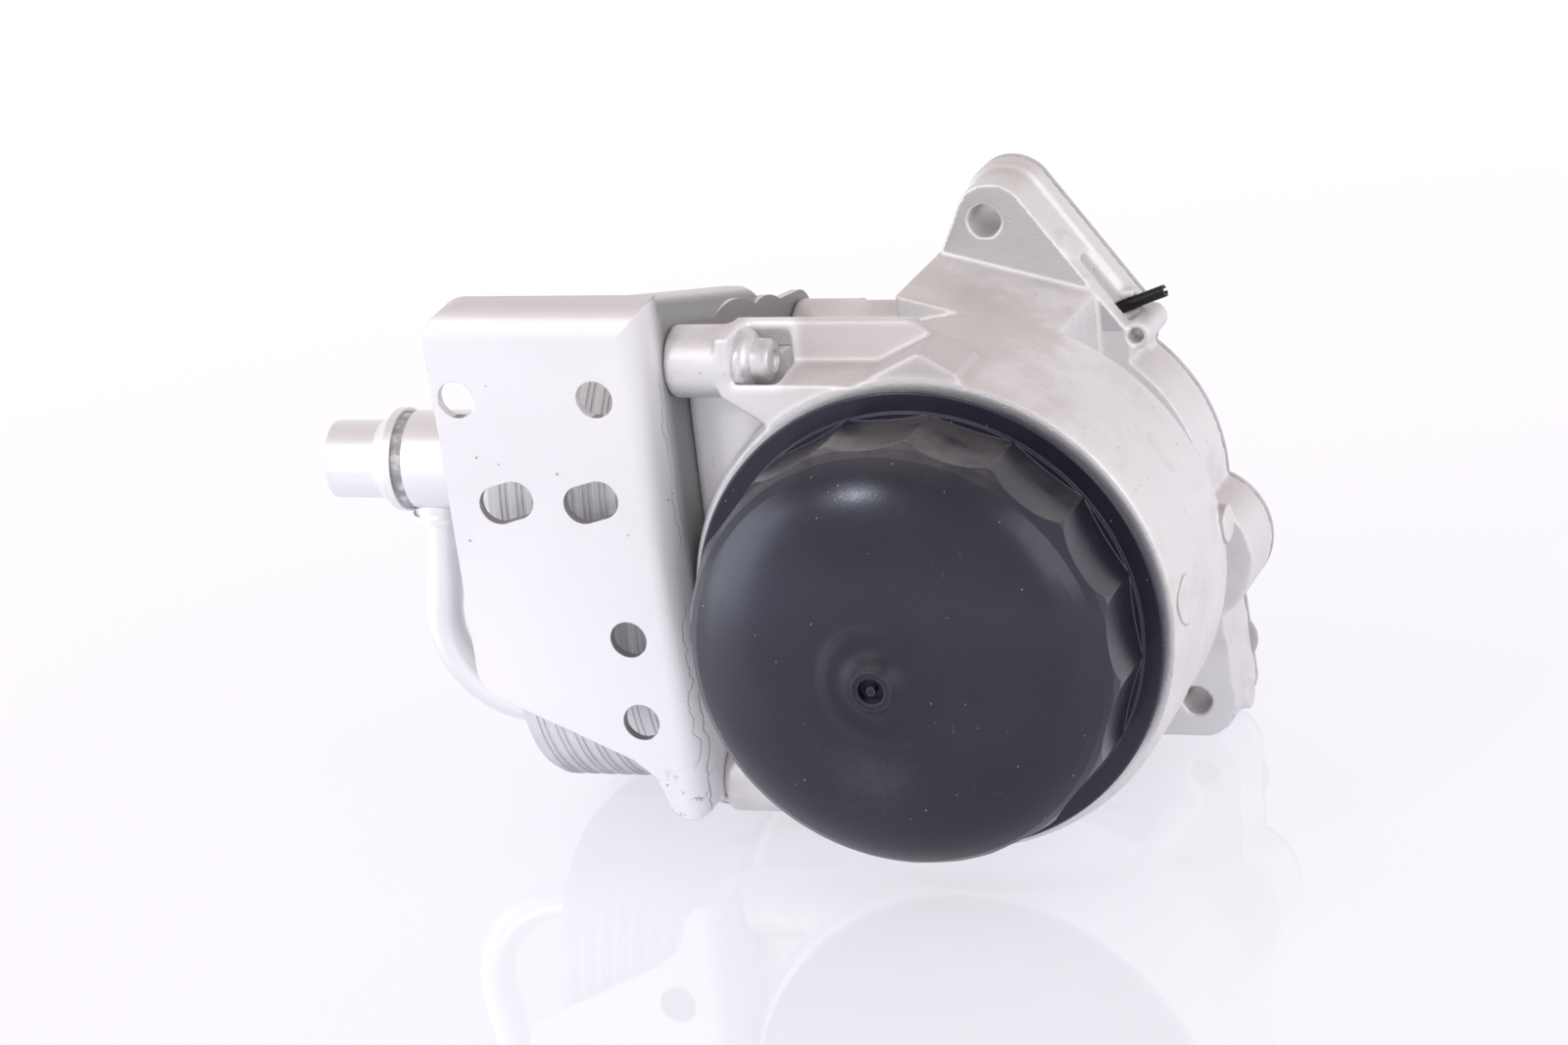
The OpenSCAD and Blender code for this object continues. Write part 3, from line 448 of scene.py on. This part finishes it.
def moulded_plastic(name, tone, tint):
    """Plain moulded plastic, faintly uneven."""
    g = material_graph(name)
    skin = g.noise(900.0, 3.0, 0.55)
    colour = g.mix(g.band(skin, 0.3, 0.7), grey(tone * 0.8, tint), grey(tone * 1.15, tint))
    rough = g.scaled(skin, 0.15, 0.4)
    depth = g.bump(skin, 0.03 * MM, 0.5, g.rounded(0.25 * MM))
    return g.finish(Base_Color=colour, Roughness=rough, Normal=depth)


def pleated_paper():
    """Tan filter paper with a fibrous grain."""
    g = material_graph("filter_paper")
    fibre = g.grained((1400.0, 500.0, 1400.0), detail=5.0, roughness=0.7)
    colour = g.mix(g.band(fibre, 0.3, 0.7), (0.62, 0.45, 0.2, 1.0), (0.78, 0.62, 0.34, 1.0))
    return g.finish(Base_Color=colour, Roughness=0.85, Normal=g.bump(fibre, 0.08 * MM, 0.8))


MATERIALS = {
    "cast": cast_aluminium(),
    "sheet": sheet_aluminium(),
    "plates": brazed_plates(),
    "tube": drawn_tube(),
    "black_plastic": moulded_cap(),
    "seal_rubber": soft_seal("seal_rubber", 0.02),
    "gasket": coated_gasket(),
    "black_steel": plain_metal("black_steel", 0.035, (1.0, 1.0, 1.0), 0.3),
    "zinc": plain_metal("zinc_plate", 0.8, COOL, 0.36),
    "spring_steel": plain_metal("spring_steel", 0.4, WARM, 0.3),
    "valve_brass": plain_metal("valve_brass", 0.62, (1.0, 0.82, 0.46), 0.3),
    "filter_paper": pleated_paper(),
    "filter_disc": moulded_plastic("filter_disc", 0.12, (0.8, 1.0, 0.62)),
    "core_plastic": moulded_plastic("core_plastic", 0.55, WARM),
}
for part in frame["record"]["subparts"]:
    mesh = nodes[part["node"]].data
    mesh.materials.clear()
    mesh.materials.append(MATERIALS[part["material_slot"]])
# The ring between the socket and the spigot is paler than the other seals
nodes["spigot_seal"].data.materials[0] = soft_seal("pale_seal", 0.34)

# Pieces

# Degrees between two facets from which the edge between them stays sharp
CREASE = 40
CAP_CREASE = 9
CAP_MIDDLE_CREASE = 34
CAP_MIDDLE = 16 * MM
# The front cooler bolt is the only one above this z and ahead of this y
FRONT_BOLT_ABOVE = 40 * MM
FRONT_BOLT_AHEAD = -60 * MM
# Its axis (y, z), its shank, the seat under its head, and the head in mm: along the axis, radius
BOLT_AXIS = (-82.5 * MM, 51.2 * MM)
BOLT_RADIUS = 3.0 * MM
BOLT_SEAT_X = -36.5 * MM
BOLT_HEAD = [(0.0, 3.0), (0.0, 6.3), (1.7, 6.4), (2.2, 6.1), (3.0, 5.2), (3.3, 4.6), (6.1, 4.4),
             (6.7, 4.0), (6.9, 3.2), (6.9, 2.3), (6.2, 2.1)]
LATHE_STEPS = 48


def copy_of(node, name):
    """A new object with a node's mesh, its seams closed and its stored normals dropped."""
    made = bpy.data.objects.new(name, nodes[node].data.copy())
    bpy.context.scene.collection.objects.link(made)
    work = bmesh.new()
    work.from_mesh(made.data)
    bmesh.ops.remove_doubles(work, verts=work.verts, dist=1e-6)
    work.to_mesh(made.data)
    work.free()
    if "custom_normal" in made.data.attributes:
        made.data.attributes.remove(made.data.attributes["custom_normal"])
    return made


def apply_modifiers(piece):
    """Turns the piece's modifiers into mesh."""
    graph = bpy.context.evaluated_depsgraph_get()
    mesh = bpy.data.meshes.new_from_object(piece.evaluated_get(graph))
    piece.modifiers.clear()
    piece.data = mesh


def shade_smooth(piece):
    """Shades the facets as one surface."""
    piece.data.polygons.foreach_set("use_smooth", [True] * len(piece.data.polygons))


def shade_creased(piece, angle):
    """Shades the facets as one surface, up to that angle between them."""
    shade_smooth(piece)
    piece.data.set_sharp_from_angle(angle=math.radians(angle))


def stand_for(piece, node, slot, body):
    """The piece takes a node's place, finish and body."""
    piece.data.materials.clear()
    piece.data.materials.append(MATERIALS[slot])
    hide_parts(node)
    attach(piece, body)


def filleted(node, name, slot, voxel, passes, share):
    """The node as a casting: every corner runs into the next face in a small round."""
    piece = copy_of(node, name)
    remesh = piece.modifiers.new("remesh", "REMESH")
    remesh.mode = "VOXEL"
    remesh.voxel_size = voxel
    smooth = piece.modifiers.new("smooth", "SMOOTH")
    smooth.factor = 0.5
    smooth.iterations = passes
    thin = piece.modifiers.new("thin", "DECIMATE")
    thin.ratio = share
    apply_modifiers(piece)
    shade_smooth(piece)
    stand_for(piece, node, slot, "housing")


def creased(node, name, slot, body, angle):
    """The node with its facets shaded as one surface, up to that angle between them."""
    piece = copy_of(node, name)
    shade_creased(piece, angle)
    stand_for(piece, node, slot, body)
    return piece


def even_middle(piece, radius, angle):
    """Keeps only the sharpest creases near the Y axis, so that shallow cones run on smoothly."""
    work = bmesh.new()
    work.from_mesh(piece.data)
    for edge in work.edges:
        near = all(math.hypot(v.co.x, v.co.z) < radius and v.co.y < -BODY_DEPTH
                   for v in edge.verts)
        if near and len(edge.link_faces) == 2:
            edge.smooth = edge.calc_face_angle() < math.radians(angle)
    work.to_mesh(piece.data)
    work.free()


def turned(work, centre, profile):
    """Adds a closed lathe form about the X axis through centre, from (x, radius) pairs."""
    angles = [2 * math.pi * i / LATHE_STEPS for i in range(LATHE_STEPS)]
    rings = []
    for x, radius in profile:
        spots = [(x, centre[0] + radius * math.cos(a), centre[1] + radius * math.sin(a))
                 for a in angles]
        rings.append([work.verts.new(spot) for spot in spots])
    for low, high in zip(rings, rings[1:]):
        for i in range(LATHE_STEPS):
            j = (i + 1) % LATHE_STEPS
            work.faces.new((low[i], low[j], high[j], high[i]))
    work.faces.new(rings[0][::-1])
    work.faces.new(rings[-1])


def cooler_bolt_set():
    """The three cooler bolts, of which the front one has a round flanged head."""
    piece = copy_of("cooler_bolts", "cooler_bolt_set")
    work = bmesh.new()
    work.from_mesh(piece.data)
    front = [v for v in work.verts if v.co.z > FRONT_BOLT_ABOVE and v.co.y < FRONT_BOLT_AHEAD]
    tip = min(v.co.x for v in front)
    bmesh.ops.delete(work, geom=front, context="VERTS")
    head = [(BOLT_SEAT_X + along * MM, radius * MM) for along, radius in BOLT_HEAD]
    turned(work, BOLT_AXIS, [(tip, BOLT_RADIUS)] + head)
    bmesh.ops.recalc_face_normals(work, faces=work.faces)
    work.to_mesh(piece.data)
    work.free()
    shade_creased(piece, CREASE)
    stand_for(piece, "cooler_bolts", "zinc", "housing")


filleted("housing_casting", "casting_skin", "cast", voxel=0.62 * MM, passes=3, share=0.35)
cap = creased("filter_cap", "cap_shell", "black_plastic", "cap", CAP_CREASE)
even_middle(cap, CAP_MIDDLE, CAP_MIDDLE_CREASE)
cooler_bolt_set()
coil = creased("bypass_spring", "spring_coil", "spring_steel", "housing", CREASE)
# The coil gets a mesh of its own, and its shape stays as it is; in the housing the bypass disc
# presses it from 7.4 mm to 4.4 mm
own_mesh(coil)

# Studio

FLOOR_Z = cad_box[0].z
FLOOR_REACH = 6.0
# The camera's angles in degrees, and its focal length and picture width in pixels
CAMERA_PAN, CAMERA_TIP, CAMERA_ROLL = 21.57, 19.08, -6.79
FOCAL_PIXELS = 5000.0
PICTURE_PIXELS = 1600.0
SENSOR_MM = 36.0
# The middle of the cap's flange lies this far ahead of the camera, and this many pixels right
# of and below the picture's middle
FLANGE_AWAY = 965.4 * MM
FLANGE_RIGHT = 146.2
FLANGE_BELOW = 103.6
LIT_POINT = (-0.03, -0.06, 0.02)


def camera():
    """The photograph's view: a long lens, a little above and to the right of the cap."""
    pan, tip, roll = (math.radians(v) for v in (CAMERA_PAN, CAMERA_TIP, CAMERA_ROLL))
    level = Vector((math.cos(pan), math.sin(pan), 0))
    ahead = Vector((-math.sin(pan) * math.cos(tip), math.cos(pan) * math.cos(tip),
                    -math.sin(tip)))
    above = level.cross(ahead)
    right = level * math.cos(roll) + above * math.sin(roll)
    up = above * math.cos(roll) - level * math.sin(roll)
    pixel = FLANGE_AWAY / FOCAL_PIXELS
    flange = Vector((0, -BODY_DEPTH, 0))
    place = (flange - ahead * FLANGE_AWAY - right * (FLANGE_RIGHT * pixel)
             + up * (FLANGE_BELOW * pixel))
    data = bpy.data.cameras.new("camera")
    data.lens = SENSOR_MM * FOCAL_PIXELS / PICTURE_PIXELS
    data.sensor_width = SENSOR_MM
    data.clip_start = 0.05
    data.clip_end = 30.0
    made = bpy.data.objects.new("camera", data)
    pose = Matrix((right, up, -ahead)).transposed().to_4x4()
    pose.translation = place
    made.matrix_world = pose
    bpy.context.scene.collection.objects.link(made)
    bpy.context.scene.camera = made


def softbox(name, at, size, power, colour):
    """A square lamp that looks at the part."""
    data = bpy.data.lights.new(name, "AREA")
    data.shape = "RECTANGLE"
    data.size = data.size_y = size
    data.energy = power
    data.color = colour
    made = bpy.data.objects.new(name, data)
    made.location = at
    made.rotation_mode = "QUATERNION"
    made.rotation_quaternion = (Vector(LIT_POINT) - Vector(at)).to_track_quat("-Z", "Y")
    bpy.context.scene.collection.objects.link(made)


def table():
    """A wide glossy white table top, as pale as the background to the eye and in gloss."""
    mesh = bpy.data.meshes.new("table_top")
    corners = [(-1, -1), (1, -1), (1, 1), (-1, 1)]
    spots = [(x * FLOOR_REACH, y * FLOOR_REACH, FLOOR_Z) for x, y in corners]
    mesh.from_pydata(spots, [], [(0, 1, 2, 3)])
    made = bpy.data.objects.new("table_top", mesh)
    bpy.context.scene.collection.objects.link(made)
    g = material_graph("table_gloss")
    matt = {"Base Color": (0.84, 0.83, 0.93, 1.0), "Roughness": 0.5}
    gloss = {"Base Color": (0.3, 0.295, 0.34, 1.0), "Roughness": 0.03, "IOR": 1.5,
             "Emission Color": (0.965, 0.955, 1.0, 1.0), "Emission Strength": 0.62}
    bounced, seen = [g.add("ShaderNodeBsdfPrincipled", look).outputs[0] for look in (matt, gloss)]
    path = g.add("ShaderNodeLightPath").outputs
    direct = g.most(path["Is Camera Ray"], path["Is Glossy Ray"], path["Is Transmission Ray"])
    mix = g.add("ShaderNodeMixShader", {0: direct, 1: bounced, 2: seen})
    g.add("ShaderNodeOutputMaterial", {"Surface": mix.outputs[0]})
    mesh.materials.append(g.owner)


def studio_world():
    """Soft light all round: white from the sides, dimmer and warmer from above."""
    world = bpy.data.worlds.new("studio")
    bpy.context.scene.world = world
    g = Graph(world)
    ramp = g.add("ShaderNodeValToRGB", {0: g.axis(g.coords["Generated"], "Z")})
    sides, above = ramp.color_ramp.elements
    sides.position = 0.15
    sides.color = (0.98, 0.97, 1.0, 1.0)
    above.position = 0.85
    above.color = (0.68, 0.6, 0.6, 1.0)
    light = g.add("ShaderNodeBackground", {"Color": ramp.outputs[0], "Strength": 1.0})
    white = g.add("ShaderNodeBackground", {"Color": (1.0, 1.0, 1.0, 1.0)})
    direct = g.add("ShaderNodeLightPath").outputs["Is Camera Ray"]
    mix = g.add("ShaderNodeMixShader", {0: direct, 1: light.outputs[0], 2: white.outputs[0]})
    g.add("ShaderNodeOutputWorld", {"Surface": mix.outputs[0]})


camera()
table()
studio_world()
softbox("key", (-0.54, -1.08, 0.82), 0.12, 2.8, (0.98, 0.98, 1.0))
softbox("left", (-1.1, -0.52, 0.24), 0.7, 4.2, (0.92, 0.94, 1.0))
softbox("right", (0.9, -0.55, 0.5), 0.7, 3.0, (1.0, 0.99, 1.0))
bpy.context.scene.view_settings.view_transform = "Standard"
